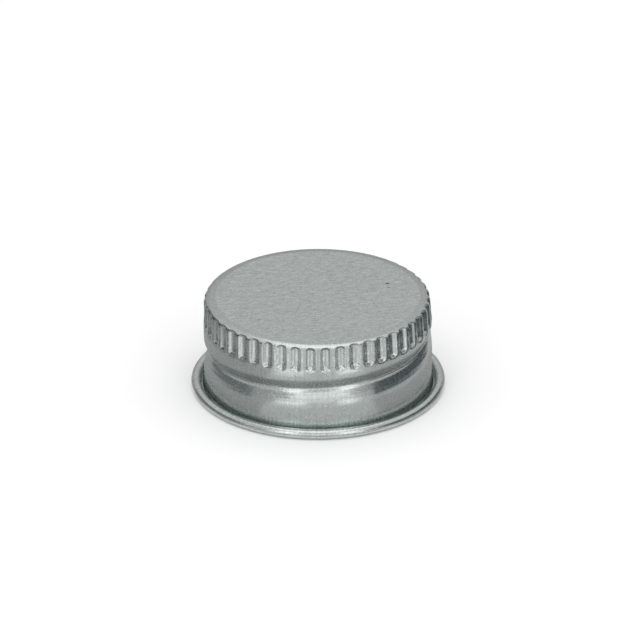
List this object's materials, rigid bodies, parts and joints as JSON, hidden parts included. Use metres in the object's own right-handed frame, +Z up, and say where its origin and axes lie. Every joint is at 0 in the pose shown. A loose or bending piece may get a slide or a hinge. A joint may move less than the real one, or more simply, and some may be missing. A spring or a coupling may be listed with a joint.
{
  "type": "bottle cap",
  "caption": "Drawn aluminium screw cap with a flat satin top, fluted head, rolled right-hand thread, plain skirt, outward curl at the foot and a white sealing liner.",
  "frame": {"origin": "middle of the plane on which the curl stands", "axes": "+Z up along the cap's axis, out of the top panel; -Y is the side that faces the camera in the picture"},
  "size_m": [0.0316, 0.0316, 0.0121],
  "materials": {
    "aluminium": "satin rolled sheet, uncoated",
    "liner_foam": "matte foamed polyethylene"
  },
  "bodies": {
    "root": {"shell": "aluminium", "liner": "liner_foam"}
  },
  "joints": []
}
